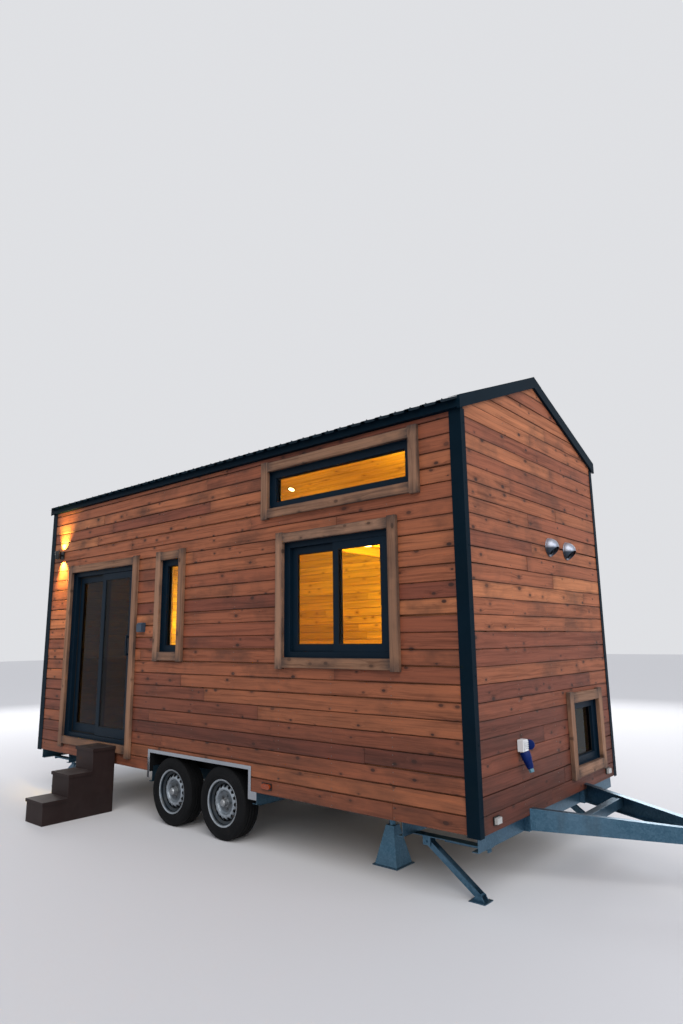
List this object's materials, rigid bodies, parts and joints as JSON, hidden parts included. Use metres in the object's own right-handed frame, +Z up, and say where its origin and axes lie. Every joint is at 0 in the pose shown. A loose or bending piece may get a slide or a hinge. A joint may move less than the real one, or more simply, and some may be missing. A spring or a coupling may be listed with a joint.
{
  "type": "tiny house on wheels",
  "caption": "Timber-clad tiny house on a tandem-axle drawbar trailer, with a ribbed steel roof, a sliding glazed door, loft windows, corner steadies and entrance steps",
  "frame": {"origin": "on the ground, below the middle of the bounding box", "axes": "+X towards the drawbar, +Y towards the back wall, +Z up; the door is in the wall at -Y"},
  "size_m": [7.359, 3.3403, 3.8757],
  "materials": {
    "galvanised_steel": "galvanised",
    "black_iron": "satin",
    "silver_paint": "satin",
    "house_frame": "matt",
    "pine": "satin",
    "stained_boards": "satin",
    "grey_timber": "matt",
    "roof_steel": "satin",
    "window_frame": "satin",
    "window_glass": "clear",
    "tyre_rubber": "matt",
    "lamp_black": "matt",
    "grey_plastic": "matt",
    "white_plastic": "gloss",
    "blue_plastic": "gloss",
    "amber_lens": "gloss",
    "step_brown": "matt"
  },
  "bodies": {
    "house": {"chassis_rails": "galvanised_steel", "chassis_cross_members": "galvanised_steel", "drawbar_arms": "galvanised_steel", "overrun_coupling": "black_iron", "coupling_head": "silver_paint", "axles": "galvanised_steel", "wheel_boxes": "galvanised_steel", "wheel_arch_trims": "silver_paint", "floor_deck": "house_frame", "floor_boards": "pine", "door_side_wall": "house_frame", "back_side_wall": "house_frame", "drawbar_end_wall": "house_frame", "rear_end_wall": "house_frame", "door_side_cladding": "stained_boards", "back_side_cladding": "stained_boards", "drawbar_end_cladding": "stained_boards", "rear_end_cladding": "stained_boards", "wall_linings": "pine", "loft_floor": "pine", "roof_panels": "house_frame", "roof_sheets": "roof_steel", "ridge_cap": "roof_steel", "verge_trims": "roof_steel", "eave_trims": "roof_steel", "corner_trims": "roof_steel", "door_surround": "grey_timber", "window_surrounds": "grey_timber", "door_frame": "window_frame", "door_fixed_leaf": "window_frame", "kitchen_window": "window_frame", "loft_windows": "window_frame", "narrow_window": "window_frame", "end_window": "window_frame", "window_panes": "window_glass", "wall_lamp": "lamp_black", "outdoor_socket": "grey_plastic", "power_inlet": "white_plastic", "inlet_connector": "blue_plastic", "vent_cowls": "silver_paint", "marker_lamps": "amber_lens", "entrance_steps": "step_brown", "axle_stands": "galvanised_steel", "steady_brackets": "galvanised_steel"},
    "door_leaf": {"door_sliding_leaf": "window_frame", "door_sliding_pane": "window_glass"},
    "wheel_door_side_fore": {"tyre_door_side_fore": "tyre_rubber", "rim_door_side_fore": "silver_paint"},
    "wheel_door_side_aft": {"tyre_door_side_aft": "tyre_rubber", "rim_door_side_aft": "silver_paint"},
    "wheel_back_side_fore": {"tyre_back_side_fore": "tyre_rubber", "rim_back_side_fore": "silver_paint"},
    "wheel_back_side_aft": {"tyre_back_side_aft": "tyre_rubber", "rim_back_side_aft": "silver_paint"},
    "steady_door_side_fore": {"steady_leg_door_side_fore": "galvanised_steel"},
    "steady_door_side_aft": {"steady_leg_door_side_aft": "galvanised_steel"},
    "steady_back_side_fore": {"steady_leg_back_side_fore": "galvanised_steel"},
    "steady_back_side_aft": {"steady_leg_back_side_aft": "galvanised_steel"}
  },
  "joints": [
    {"name": "door_slide", "type": "slide", "parent": "house", "child": "door_leaf", "axis": [-1, 0, 0], "range_m": [0, 0.55]},
    {"name": "wheel_spin_door_side_fore", "type": "hinge", "parent": "house", "child": "wheel_door_side_fore", "pos_m": [-0.2445, -0.81532, 0.3], "axis": [0, 1, 0], "continuous": true},
    {"name": "wheel_spin_door_side_aft", "type": "hinge", "parent": "house", "child": "wheel_door_side_aft", "pos_m": [-0.9745, -0.81532, 0.3], "axis": [0, 1, 0], "continuous": true},
    {"name": "wheel_spin_back_side_fore", "type": "hinge", "parent": "house", "child": "wheel_back_side_fore", "pos_m": [-0.2445, 1.49968, 0.3], "axis": [0, 1, 0], "continuous": true},
    {"name": "wheel_spin_back_side_aft", "type": "hinge", "parent": "house", "child": "wheel_back_side_aft", "pos_m": [-0.9745, 1.49968, 0.3], "axis": [0, 1, 0], "continuous": true},
    {"name": "steady_lift_door_side_fore", "type": "hinge", "parent": "house", "child": "steady_door_side_fore", "pos_m": [1.7455, -0.69782, 0.3], "axis": [0, -1, 0], "range_deg": [0, 30]},
    {"name": "steady_lift_door_side_aft", "type": "hinge", "parent": "house", "child": "steady_door_side_aft", "pos_m": [-3.1145, -0.69782, 0.3], "axis": [0, 1, 0], "range_deg": [0, 30]},
    {"name": "steady_lift_back_side_fore", "type": "hinge", "parent": "house", "child": "steady_back_side_fore", "pos_m": [1.7455, 1.38218, 0.3], "axis": [0, -1, 0], "range_deg": [0, 30]},
    {"name": "steady_lift_back_side_aft", "type": "hinge", "parent": "house", "child": "steady_back_side_aft", "pos_m": [-3.1145, 1.38218, 0.3], "axis": [0, 1, 0], "range_deg": [0, 30]}
  ]
}
